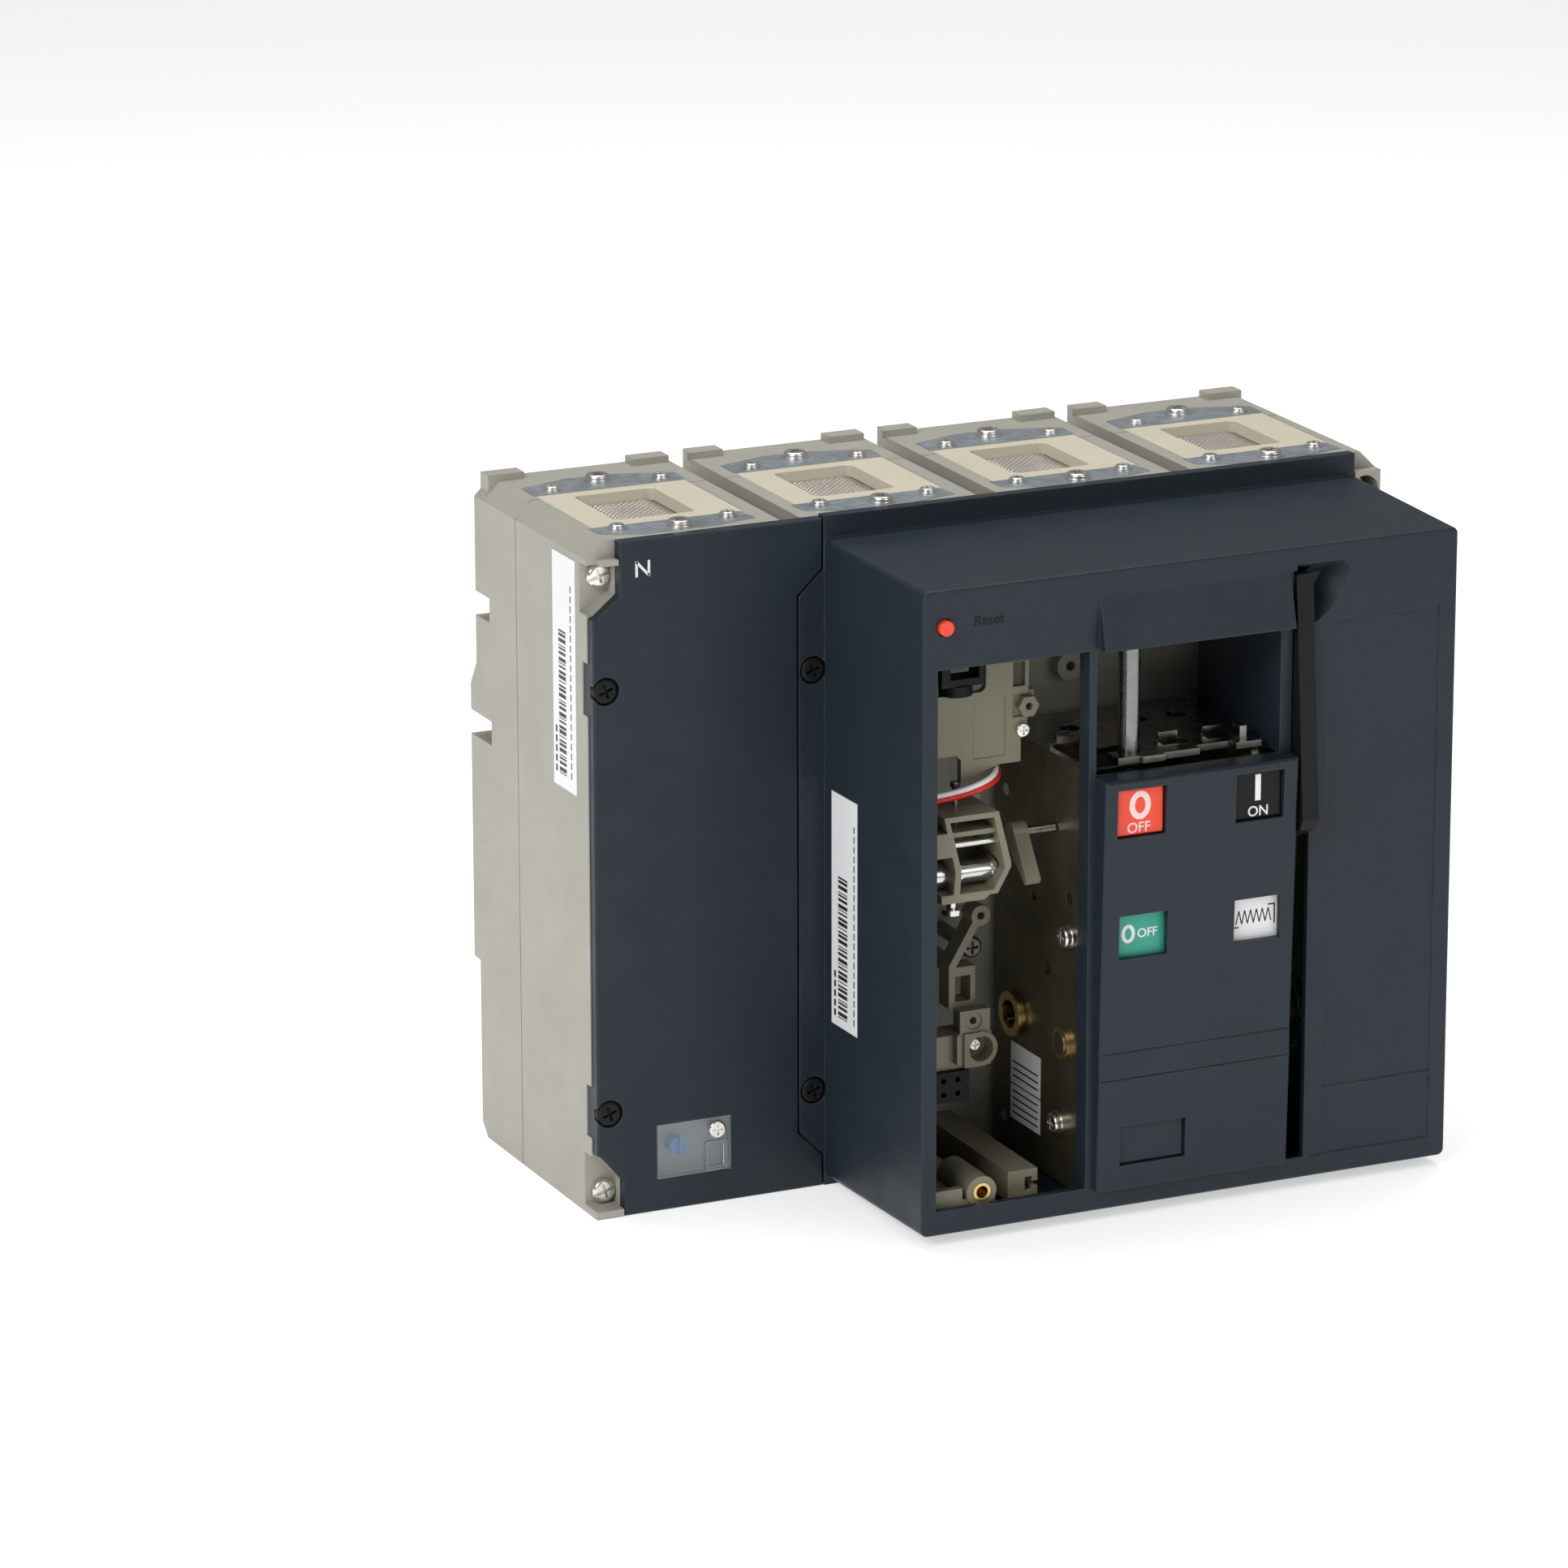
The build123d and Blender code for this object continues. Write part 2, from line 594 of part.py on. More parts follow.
with BuildPart() as neutral_dial:
    rod_y(-110.4, (-44.8, -40.9), 19.8, 3.0)
    rod_y(-110.4, (-40.9, -38.4), 19.8, 1.2)
    block((-110.8, -110.0), (-44.8, -43.9), (16.0, 24.0), Mode.SUBTRACT)
keep(neutral_dial.part, "neutral_dial")


# ---------------------------------------------------------------- operating mechanism

spacer_spots = [(-104.2, 92.2), (-98.0, 28.2), (-57.0, 128.0), (-57.0, 18.0)]
light_holes = [(-101.9, 103.9, 2.2), (-87.0, 76.8, 2.4), (-77.1, 98.0, 1.8), (-64.7, 55.0, 6.2)]


def side_plate(x):
    with BuildPart() as plate:
        block(x, mech_y, mech_z)
        fillet(plate.edges().filter_by(Axis.X), 4.0)
        rod_x(x, charge_y, charge_z, 4.9, Mode.SUBTRACT)
        for y, z, radius in light_holes:
            rod_x(x, y, z, radius, Mode.SUBTRACT)
        for y, z in spacer_spots:
            rod_x(x, y, z, 2.0, Mode.SUBTRACT)
    return plate.part


keep(side_plate(left_plate_x), "left_side_plate")
keep(side_plate(right_plate_x), "right_side_plate")

with BuildPart() as frame_spacers:
    for y, z in spacer_spots:
        rod_x((left_plate_x[1], right_plate_x[0]), y, z, 3.4)
        rod_x((left_plate_x[0], right_plate_x[1]), y, z, 2.0)
keep(frame_spacers.part, "frame_spacers")

with BuildPart() as shelf:
    block((0.0, 63.0), (-111.5, -56.0), (mech_z[1], mech_z[1] + shelf_thick))
    # stepped front-left corner with two folded tabs, a lip, slots and holes
    block((0.0, 12.0), (-111.5, -88.0), (mech_z[1], mech_z[1] + shelf_thick), Mode.SUBTRACT)
    for x, y in ((4.0, -84.5), (10.5, -88.0)):
        block((x, x + 5.0), (y, y + 1.2), (mech_z[1] + shelf_thick, mech_z[1] + shelf_thick + 2.4))
    block((20.0, 28.0), (-113.0, -111.5), (mech_z[1], mech_z[1] + shelf_thick))
    block((41.0, 54.0), (-111.5, -108.5), (mech_z[1], mech_z[1] + shelf_thick), Mode.SUBTRACT)
    for x in (33.0, 49.0):
        block((x, x + 7.0), (-98.0, -96.8), (mech_z[1] + shelf_thick, mech_z[1] + shelf_thick + 2.4))
    for x in (10.0, 32.0, 48.0):
        block((x, x + 9), (-104.0, -98.0), (mech_z[1], mech_z[1] + shelf_thick), Mode.SUBTRACT)
    for x in (-6.0, 14.0, 38.0, 52.0):
        rod_z(x, -74.0, (mech_z[1], mech_z[1] + shelf_thick), 3.4, Mode.SUBTRACT)
    rod_z(column_at[0], column_at[1], (mech_z[1], mech_z[1] + shelf_thick), 2.0, Mode.SUBTRACT)
    block((57.0, 59.4), (-108.0, -103.0), (mech_z[1] + shelf_thick, mech_z[1] + 6.4))
keep(shelf.part, "shelf_plate")

with BuildPart() as steel_column:
    rod_z(column_at[0], column_at[1], (mech_z[1] + shelf_thick, 210.0), column_radius)
    rod_z(column_at[0], column_at[1], (mech_z[1], mech_z[1] + shelf_thick), 2.0)
keep(steel_column.part, "steel_column")

with BuildPart() as brass_bushes:
    for x, flange in ((left_plate_x, (-1.6, 0.0)), (right_plate_x, (63.0, 64.6))):
        rod_x(x, charge_y, charge_z, 4.9)
        rod_x(flange, charge_y, charge_z, 5.4)
    rod_x((-1.6, 65.0), charge_y, charge_z, charge_radius + running_fit, Mode.SUBTRACT)
    rod_x((-2.4, 2.5), -64.7, 55.0, 6.2)
    rod_x((-2.4, -1.2), -64.7, 55.0, 7.4)
    rod_x((-2.4, 2.5), -64.7, 55.0, 4.7, Mode.SUBTRACT)
    # threaded insert of the bay tray
    rod_y(-36.0, (-113.8, -92.0), 15.0, 3.0)
    rod_y(-36.0, (-113.8, -100.0), 15.0, 2.0, Mode.SUBTRACT)
keep(brass_bushes.part, "brass_bushes")

# small bright screws: (x, y, z) of the head's seat, head radius and height, shank radius and length
front_screws = [(-98.2, cover_plane, 24.9, 2.9, 1.4, 1.5, 7.5), (-14.2, -96.0, 159.8, 2.4, 1.6, 1.2, 2.5),
                (-22.2, -79.0, 52.0, 2.2, 1.6, 1.4, 5.0), (-16.8, -64.0, 80.0, 3.6, 3.4, 2.4, 20.0)]
with BuildPart() as small_screws:
    for x, y, z, head, rise, shank, length in front_screws:
        with Locations(Location((x, y, z), (90, 0, 0))):
            add(cross_screw(head, rise, shank, length))
    for y, z in spacer_spots[:2]:
        rod_x((-1.6, 0.0), y, z, 4.0)
        with Locations(Location((-1.6, y, z), (0, -90, 0))):
            add(cross_screw(3.5, 2.4, 1.9, 0.2))
keep(small_screws.part, "small_screws")


# ---------------------------------------------------------------- spring charging

with BuildPart() as charging_shaft:
    rod_x((-2.0, 84.2), charge_y, charge_z, charge_radius)
keep(charging_shaft.part, "charging_shaft")


def make_ratchet():
    teeth = 20
    outer = 12.5
    inner = 10.6
    tips = [(outer, 360 / teeth * i) for i in range(teeth)]
    roots = [(inner, 360 / teeth * (i + 0.92)) for i in range(teeth)]
    points = [point for pair in zip(tips, roots) for point in pair]
    with BuildPart() as wheel:
        with BuildSketch(Plane.YZ.offset(wheel_x[0])):
            with BuildLine():
                Polyline(*[(charge_y + r * cos(radians(a)), charge_z + r * sin(radians(a)))
                           for r, a in points], close=True)
            make_face()
            with Locations((charge_y, charge_z)):
                Circle(charge_radius, mode=Mode.SUBTRACT)
        extrude(amount=wheel_x[1] - wheel_x[0])
    return wheel.part


keep(make_ratchet(), "ratchet_wheel")

with BuildPart() as closing_cam:
    with BuildSketch(Plane.YZ.offset(27)):
        with Locations((charge_y, charge_z)):
            Circle(9.5)
        with Locations((charge_y + 4.5, charge_z - 2.0)):
            Circle(8.5)
        with Locations((charge_y, charge_z)):
            Circle(charge_radius, mode=Mode.SUBTRACT)
    extrude(amount=9)
keep(closing_cam.part, "closing_cam")


def make_handle():
    """Charging lever: grip, neck inside the slot and hub on the charging shaft."""
    with BuildPart() as handle:
        with BuildSketch(Plane.YZ.offset(lever_x[0])):
            with BuildLine():
                Polyline((-118.4, 205.6), (-125.0, 126.5), (-123.2, 123.0), (-111.5, 117.0),
                         (-104.5, charge_z + 2), (-95.0, charge_z + 2), (-103.0, 116.0), (-105.0, 205.8),
                         close=True)
            make_face()
            with Locations((charge_y, charge_z)):
                Circle(9.4)
            with Locations((charge_y + 14, charge_z)):
                SlotOverall(40, 10)
        extrude(amount=lever_x[1] - lever_x[0])
        side_edges = handle.edges().filter_by(GeomType.LINE).filter_by(Axis.X, reverse=True)
        chamfer(side_edges.group_by(Axis.Z)[-1], 0.8)
        rod_x(lever_x, charge_y, charge_z, charge_radius + running_fit, Mode.SUBTRACT)
    return handle.part


keep(make_handle(), "charging_handle")

with BuildPart() as drive_pawl:
    with BuildSketch(Plane.YZ.offset(wheel_x[0])):
        with BuildLine():
            Polyline((charge_y + 13.0, charge_z - 3), (charge_y + 13.0, charge_z + 3),
                     (charge_y + 30, charge_z + 5), (charge_y + 30, charge_z - 3), close=True)
        make_face()
    extrude(amount=3.0)
    rod_x((lever_x[1], wheel_x[0]), charge_y + 27.0, charge_z + 1.0, 2.0)
keep(drive_pawl.part, "drive_pawl")

spring_at = (45.0, -76.0)
with BuildPart() as closing_spring:
    with BuildLine() as coil:
        Helix(pitch=6.0, height=78.0, radius=8.0, center=(spring_at[0], spring_at[1], 24.0))
    with BuildSketch(Plane(origin=coil.line @ 0, z_dir=coil.line % 0)):
        Circle(1.3)
    sweep()
keep(closing_spring.part, "closing_spring")

with BuildPart() as spring_guide:
    rod_z(spring_at[0], spring_at[1], (20.0, 112.0), 5.4)
    rod_z(spring_at[0], spring_at[1], (19.0, 22.3), 11.0)
    rod_z(spring_at[0], spring_at[1], (103.8, 107.0), 11.0)
    rod_x((left_plate_x[1], right_plate_x[0]), spring_at[1], 16.5, 2.6)
keep(spring_guide.part, "spring_guide")


# ---------------------------------------------------------------- buttons and flags

def push_button(window_x, window_z, stem_x):
    """Square cap in its window, with a collar behind the panel and a stem towards the latch."""
    cap_z = (window_z[0] + button_gap, window_z[1] - button_gap)
    with BuildPart() as button:
        block((window_x[0] + button_gap, window_x[1] - button_gap), (-122.0, -117.0), cap_z)
        chamfer(button.edges().group_by(Axis.Y)[0], 0.4)
        block((window_x[0] - 0.8, window_x[1] + 0.8), (-117.6, -116.2), cap_z)
        block(stem_x, (-116.2, -96.0), (133.0, 139.0))
    return button.part


keep(push_button(off_x, button_z, (10.5, 18.5)), "off_button")
keep(push_button(on_x, button_z, (52.0, 60.0)), "on_button")


def flag(window_x, stem_x):
    """Two-field flag behind its window, on a stem that runs back between the side plates."""
    with BuildPart() as plate:
        block((window_x[0] - 0.8, window_x[1] + 0.8), (flag_front, flag_front + 1.2),
              (flag_z[0] - 0.8, flag_z[1] + flag_travel + 0.8))
        block(stem_x, (flag_front + 1.2, -108.2), (flag_z[0] + 4.0, flag_z[0] + 7.0))
    return plate.part


keep(flag(contact_flag_x, (12.0, 20.0)), "contact_flag")
keep(flag(spring_flag_x, (52.0, 60.0)), "spring_flag")

with BuildPart() as reset_button:
    rod_y(reset_at[0], (-119.0, -110.5), reset_at[1], 2.5)
    chamfer(reset_button.faces().sort_by(Axis.Y)[0].edges(), 0.3)
    rod_y(reset_at[0], (-112.6, -110.5), reset_at[1], 3.6)
keep(reset_button.part, "reset_button")


# ---------------------------------------------------------------- left-hand bay

with BuildPart() as carrier_plate:
    with BuildSketch(at_depth(-93.5)):
        with BuildLine():
            Polyline((-55.0, 200.0), (-55.0, 153.8), (-37.0, 153.8), (-35.4, 152.2), (-35.4, 144.8),
                     (-30.0, 146.6), (-22.4, 149.4), (-14.5, 149.4), (-14.5, 157.0), (-12.4, 157.6),
                     (-11.4, 159.6), (-12.4, 162.4), (-11.9, 164.0), (-17.3, 164.0), (-17.3, 171.4),
                     (-11.9, 171.4), (-11.4, 200.0), close=True)
        make_face()
        # recess of the spring clip and the slot beside it
        with Locations((-36.0, 187.2)):
            RectangleRounded(18.4, 27.2, 2.4, mode=Mode.SUBTRACT)
        with Locations((-15.2, 178.0)):
            Rectangle(4.2, 8.0, mode=Mode.SUBTRACT)
    extrude(amount=2.5)
    for x, z in ((-51.0, 190.0), (-20.0, 192.0), (-24.0, 157.0)):
        rod_y(x, (-93.5, casing_front), z, 3.2)
    # hexagonal boss beside the plate, shallow date inset on it
    with BuildSketch(at_depth(-93.0)):
        with Locations((-12.6, 167.6)):
            RegularPolygon(3.6, 6)
    extrude(amount=5.0)
    block((-17.6, -9.4), (-95.0, -93.5), (163.2, 172.2))
    rod_y(-12.6, (-98.5, -92.0), 167.6, 1.2, Mode.SUBTRACT)
    rod_y(-14.2, (-96.0, -93.5), 159.8, 1.2, Mode.SUBTRACT)
    block((-31.0, -20.0), (-96.0, -95.7), (152.0, 171.4), Mode.SUBTRACT)
keep(carrier_plate.part, "carrier_plate")

with BuildPart() as spring_clip:
    block((-43.4, -28.6), (-98.6, -91.0), (177.0, 179.4))
    block((-43.4, -40.4), (-98.6, -91.0), (179.4, 194.0))
    block((-30.4, -28.6), (-98.6, -91.0), (179.4, 194.0))
    rod_z(-36.4, -94.0, (173.6, 177.0), 5.4)
keep(spring_clip.part, "spring_clip")


def make_actuator_body():
    """Open moulded frame of the trip release, on a stalk from the casing's front wall."""
    with BuildPart() as body:
        with BuildSketch(at_depth(-88.0)):
            with BuildLine():
                Polyline((-47.8, 109.8), (-32.7, 109.8), (-31.0, 111.2), (-28.2, 111.2), (-23.5, 119.4),
                         (-23.6, 121.0), (-28.0, 138.0), (-47.0, 138.0), (-43.0, 120.0), (-43.6, 112.6),
                         (-47.8, 112.6), close=True)
            make_face()
            with BuildLine():
                Polyline((-41.4, 112.6), (-29.5, 112.6), (-25.6, 119.4), (-29.6, 136.2), (-44.9, 136.2),
                         (-40.9, 120.0), close=True)
            make_face(mode=Mode.SUBTRACT)
        extrude(amount=20.0)
        block((-50.0, -24.6), (-88.0, -84.0), (109.8, 138.0))
        block((-52.0, -43.6), (-108.0, -88.0), (124.9, 132.9))
        block((-42.6, -28.2), (-106.0, -88.0), (130.6, 132.2))
        block((-46.0, -38.0), (-84.0, casing_front), (118.0, 128.0))
        rod_z(-37.4, -96.0, (128.0, 138.0), 1.0 + running_fit, Mode.SUBTRACT)
        rod_x((-52.0, -20.0), -100.0, 117.0, 3.6, Mode.SUBTRACT)
        rod_x((-28.0, -20.0), -100.0, 117.0, 4.2, Mode.SUBTRACT)
        rod_x((-52.0, -20.0), -104.0, 127.6, 1.1, Mode.SUBTRACT)
    return body.part


keep(make_actuator_body(), "release_body")

with BuildPart() as release_rods:
    rod_x((-43.4, -24.6), -104.0, 127.6, 1.1)
    rod_x((-52.0, -22.8), -100.0, 117.0, 3.6)
    for end in ((-39.8, -38.4), (-27.9, -26.5)):
        rod_x(end, -100.0, 117.0, 4.2)
    rod_x((-52.0, -44.6), -100.0, 117.0, 4.3)
    rod_z(-39.4, -98.0, (103.0, 109.8), 1.7)
    rod_z(-39.4, -98.0, (103.2, 105.0), 3.4)
keep(release_rods.part, "release_rods")

with BuildPart() as trip_plunger:
    rod_z(-37.4, -96.0, (129.0, 145.0), 1.0)
    rod_z(-37.4, -96.0, (144.0, 145.6), 1.6)
keep(trip_plunger.part, "trip_plunger")

lever_y = -92.0
lever_z = 125.0
with BuildPart() as trip_lever:
    with BuildSketch(Plane.YZ.offset(-16.4)):
        with BuildLine():
            Polyline((lever_y - 3.4, lever_z + 0.5), (lever_y - 12.4, 112.4), (lever_y - 11.2, 110.9),
                     (lever_y + 3.4, lever_z - 2.4), close=True)
        make_face()
        with Locations((lever_y, lever_z)):
            Circle(3.4)
    extrude(amount=5.2)
    rod_x((-11.2, -0.5), lever_y, lever_z, 1.5)
keep(trip_lever.part, "trip_lever")


def make_bracket():
    """Moulded arm with a ring boss and a thin open frame, behind the trip lever."""
    with BuildPart() as bracket:
        with BuildSketch(at_depth(-72.0)):
            with BuildLine():
                Polyline((-20.0, 91.8), (-22.4, 93.0), (-30.9, 79.0), (-30.9, 76.0), (-28.4, 76.0),
                         (-28.4, 78.2), close=True)
            make_face()
            with Locations((-26.2, 71.4)):
                Rectangle(9.4, 13.6)
            with Locations((-19.6, 94.4)):
                Circle(3.4)
            with Locations((-22.4, 63.0)):
                Rectangle(1.6, 5.0)
            with Locations((-19.6, 94.4)):
                Circle(1.3, mode=Mode.SUBTRACT)
            with Locations((-26.0, 71.0)):
                Rectangle(5.4, 8.4, mode=Mode.SUBTRACT)
        extrude(amount=7.0)
        block((-30.0, -22.6), (-74.0, casing_front), (75.8, 77.4))
    return bracket.part


keep(make_bracket(), "bracket_arm")

with BuildPart() as connector_block:
    block((-50.0, -18.2), (-84.0, -74.0), (46.2, 57.6))
    rod_y(-22.2, (-85.0, -74.0), 52.0, 5.8)
    block((-28.2, -22.2), (-85.0, -74.0), (46.2, 57.6))
    rod_y(-22.2, (-85.0, -79.0), 52.0, 4.2, Mode.SUBTRACT)
    rod_y(-22.2, (-82.0, -74.0), 52.0, 1.4, Mode.SUBTRACT)
    block((-29.4, -18.7), (-84.0, -79.3), (57.6, 65.0))
    rod_y(-24.4, (-84.0, -83.4), 61.3, 2.9, Mode.SUBTRACT)
    rod_y(-24.4, (-84.0, -80.0), 61.3, 1.2, Mode.SUBTRACT)
    block((-31.8, -30.6), (-87.0, -84.0), (48.4, 58.4))
    block((-48.0, -38.0), (-74.0, casing_front), (48.0, 57.0))
keep(connector_block.part, "connector_block")

with BuildPart() as socket_strip:
    block((-50.0, -27.0), (-86.0, -74.0), (36.0, 46.0))
    with Locations(Plane.XZ.offset(86.0)):
        with Locations((-38.5, 41.0)):
            with GridLocations(5.0, 4.6, 4, 2):
                Hole(0.9, depth=4.0)
keep(socket_strip.part, "socket_strip")

with BuildPart() as bay_tray:
    block((-55.0, -31.0), (-113.0, -62.0), (9.0, 13.0))
    block((-55.0, -42.5), (-113.0, -110.5), (6.6, 17.0))
    rod_y(-36.0, (-113.5, -92.0), 15.0, 5.2)
    rod_y(-36.0, (-113.5, -92.0), 15.0, 3.0, Mode.SUBTRACT)
    block((-55.0, -31.0), (-62.0, casing_front), (9.0, 16.0))
keep(bay_tray.part, "bay_tray")

with BuildPart() as guide_rail:
    block((-23.5, -13.0), (-107.0, casing_front), (7.6, 17.6))
    block((-17.5, -15.0), (-107.0, -50.0), (10.5, 15.0), Mode.SUBTRACT)
    block((-15.0, -13.0), (-107.0, -50.0), (11.8, 13.4), Mode.SUBTRACT)
keep(guide_rail.part, "guide_rail")


# two held leads, from the wall of the bay to behind the carrier plate
with BuildPart() as coil_leads:
    for right, down in ((0.0, 0.0), (0.9, 1.6)):
        with BuildLine() as path:
            Spline((-52.0, -100.0, 142.4 - down), (-43.0 + right, -100.5, 143.2 - down),
                   (-34.5 + right, -101.0, 144.4 - down), (-27.0 + right, -100.2, 146.4 - down),
                   (-21.5 + right, -94.0, 147.4 - down), (-18.4 + right, -84.0, 149.0 - down))
        with BuildSketch(Plane(origin=path.line @ 0, z_dir=path.line % 0)):
            Circle(0.9)
        sweep(path=path.line)
keep(coil_leads.part, "coil_leads")

# paper labels on the casing, on the front cover's side and in the bay
label_thick = 0.15


def cover_side(y):
    """X of the front cover's drafted left side at depth y."""
    return cover_left + (cover_plane - y) * tan(radians(cover_draft))


with BuildPart() as labels:
    block((-casing_width / 2 - label_thick, -casing_width / 2), (-35.3, -17.3), (137.5, 214.0))
    with BuildSketch(Plane.XY.offset(56.9)):
        with BuildLine():
            Polyline((cover_side(-53.2), -53.2), (cover_side(-71.4), -71.4),
                     (cover_side(-71.4) - label_thick, -71.4), (cover_side(-53.2) - label_thick, -53.2),
                     close=True)
        make_face()
    extrude(amount=77.4)
    for z in ((19.0, 30.6), (31.2, 45.0)):
        block((-label_thick, 0.0), (-83.0, -62.0), z)
keep(labels.part, "labels")
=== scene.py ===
import json
import math

import bmesh
import bpy
from mathutils import Matrix, Vector


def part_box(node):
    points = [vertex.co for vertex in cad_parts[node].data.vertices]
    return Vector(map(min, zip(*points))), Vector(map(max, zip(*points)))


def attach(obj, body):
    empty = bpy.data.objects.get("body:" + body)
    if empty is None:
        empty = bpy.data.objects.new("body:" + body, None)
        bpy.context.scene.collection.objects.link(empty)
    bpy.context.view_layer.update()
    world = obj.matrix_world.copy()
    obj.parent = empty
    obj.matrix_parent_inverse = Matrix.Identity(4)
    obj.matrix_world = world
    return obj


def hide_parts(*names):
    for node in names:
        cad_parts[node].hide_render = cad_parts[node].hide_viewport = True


# A four-pole air circuit breaker with its control unit taken out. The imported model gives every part's
# shape and place. This script gives the parts their materials, and adds the prints, gauze and leads.

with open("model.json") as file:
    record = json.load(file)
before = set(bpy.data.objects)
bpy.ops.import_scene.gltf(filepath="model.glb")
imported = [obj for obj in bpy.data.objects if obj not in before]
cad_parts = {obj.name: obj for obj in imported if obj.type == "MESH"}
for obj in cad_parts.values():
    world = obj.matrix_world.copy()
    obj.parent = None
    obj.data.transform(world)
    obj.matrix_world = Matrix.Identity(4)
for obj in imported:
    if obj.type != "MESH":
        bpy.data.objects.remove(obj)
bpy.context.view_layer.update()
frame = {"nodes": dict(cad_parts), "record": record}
MM = 0.001
PRINT_PROUD = 0.04        # how far print on a front face stands out, in mm
SIDE_PRINT_PROUD = 0.03   # the same for print on the side labels


# ---------------------------------------------------------------- camera, floor and light

def add_camera():
    azimuth = math.radians(-24.92)
    elevation = math.radians(16.46)
    roll = math.radians(-0.12)
    distance = 2.484
    aim = Vector((-0.04639, 0.01174, 0.1172))
    back = Vector((math.sin(azimuth) * math.cos(elevation), -math.cos(azimuth) * math.cos(elevation),
                   math.sin(elevation)))
    data = bpy.data.cameras.new("camera")
    data.lens = 175.04
    data.sensor_width = 36.0
    camera = bpy.data.objects.new("camera", data)
    bpy.context.scene.collection.objects.link(camera)
    turn = back.to_track_quat("Z", "Y") @ Matrix.Rotation(roll, 3, "Z").to_quaternion()
    camera.rotation_mode = "QUATERNION"
    camera.rotation_quaternion = turn
    camera.location = aim + back * distance
    bpy.context.scene.camera = camera


def add_light(name, place, aim, size, power):
    data = bpy.data.lights.new(name, "AREA")
    data.shape = "RECTANGLE"
    data.size, data.size_y = size
    data.energy = power
    light = bpy.data.objects.new(name, data)
    bpy.context.scene.collection.objects.link(light)
    light.location = place
    light.rotation_mode = "QUATERNION"
    light.rotation_quaternion = (Vector(place) - Vector(aim)).to_track_quat("Z", "Y")


def add_studio():
    world = bpy.data.worlds.new("studio")
    bpy.context.scene.world = world
    world.use_nodes = True
    background = world.node_tree.nodes["Background"]
    background.inputs["Color"].default_value = (1, 1, 1, 1)
    background.inputs["Strength"].default_value = 0.24
    middle = (0, 0, 0.11)
    add_light("key", (-1.5, -1.0, 1.3), middle, (1.0, 1.0), 20)
    add_light("front_fill", (0.7, -1.8, 0.9), middle, (1.2, 0.9), 6)
    add_light("top", (0.1, 0.4, 1.8), middle, (1.5, 0.9), 20)


def add_floor():
    mesh = bpy.data.meshes.new("floor")
    half = 4.0
    corners = [(-half, -half, 0), (half, -half, 0), (half, half, 0), (-half, half, 0)]
    mesh.from_pydata(corners, [], [(0, 1, 2, 3)])
    floor = bpy.data.objects.new("floor", mesh)
    bpy.context.scene.collection.objects.link(floor)
    paper = plain_material("floor_paper", (0.9, 0.9, 0.9), 0.9)
    shader = paper.node_tree.nodes["Principled BSDF"]
    shader.inputs["Emission Color"].default_value = (1, 1, 1, 1)
    shader.inputs["Emission Strength"].default_value = 0.5
    floor.data.materials.append(paper)


# ---------------------------------------------------------------- materials

def new_material(name, rough, metallic=0.0):
    """A node material, with its tree and its shader."""
    material = bpy.data.materials.new(name)
    material.use_nodes = True
    shader = material.node_tree.nodes["Principled BSDF"]
    shader.inputs["Roughness"].default_value = rough
    shader.inputs["Metallic"].default_value = metallic
    return material, material.node_tree, shader


def plain_material(name, colour, rough):
    material, _, shader = new_material(name, rough)
    shader.inputs["Base Color"].default_value = (*colour, 1)
    return material


def noise(tree, scale, detail=3.0, stretch=(1, 1, 1)):
    """Noise in the piece's own space, so it stays with the surface when the piece moves."""
    place = tree.nodes.new("ShaderNodeTexCoord")
    mapping = tree.nodes.new("ShaderNodeMapping")
    mapping.inputs["Scale"].default_value = stretch
    texture = tree.nodes.new("ShaderNodeTexNoise")
    texture.inputs["Scale"].default_value = scale
    texture.inputs["Detail"].default_value = detail
    tree.links.new(place.outputs["Object"], mapping.inputs["Vector"])
    tree.links.new(mapping.outputs["Vector"], texture.inputs["Vector"])
    return texture.outputs["Fac"]


def ramp(tree, value, low, high, dark, light):
    """Colour from dark to light as the value goes from low to high."""
    node = tree.nodes.new("ShaderNodeValToRGB")
    node.color_ramp.elements[0].position = low
    node.color_ramp.elements[1].position = high
    node.color_ramp.elements[0].color = (*dark, 1)
    node.color_ramp.elements[1].color = (*light, 1)
    tree.links.new(value, node.inputs["Fac"])
    return node.outputs["Color"]


def mix(tree, factor, first, second):
    """First colour where the factor is 0, second where it is 1."""
    node = tree.nodes.new("ShaderNodeMix")
    node.data_type = "RGBA"
    tree.links.new(factor, node.inputs["Factor"])
    tree.links.new(first, node.inputs["A"])
    tree.links.new(second, node.inputs["B"])
    return node.outputs["Result"]


def tint(colour, factor):
    return tuple(min(1.0, c * factor) for c in colour)


def cloud(tree, value, low, high, colour, darker, lighter):
    """The colour, darker and lighter by those factors as the value goes from low to high."""
    return ramp(tree, value, low, high, tint(colour, darker), tint(colour, lighter))


def gloss(tree, value, low, high, rough, less, more):
    """Roughness that wanders around its middle value."""
    return ramp(tree, value, low, high, (rough - less,) * 3, (rough + more,) * 3)


def rounded_edges(tree, radius):
    rounded = tree.nodes.new("ShaderNodeBevel")
    rounded.samples = 4
    rounded.inputs["Radius"].default_value = radius
    return rounded


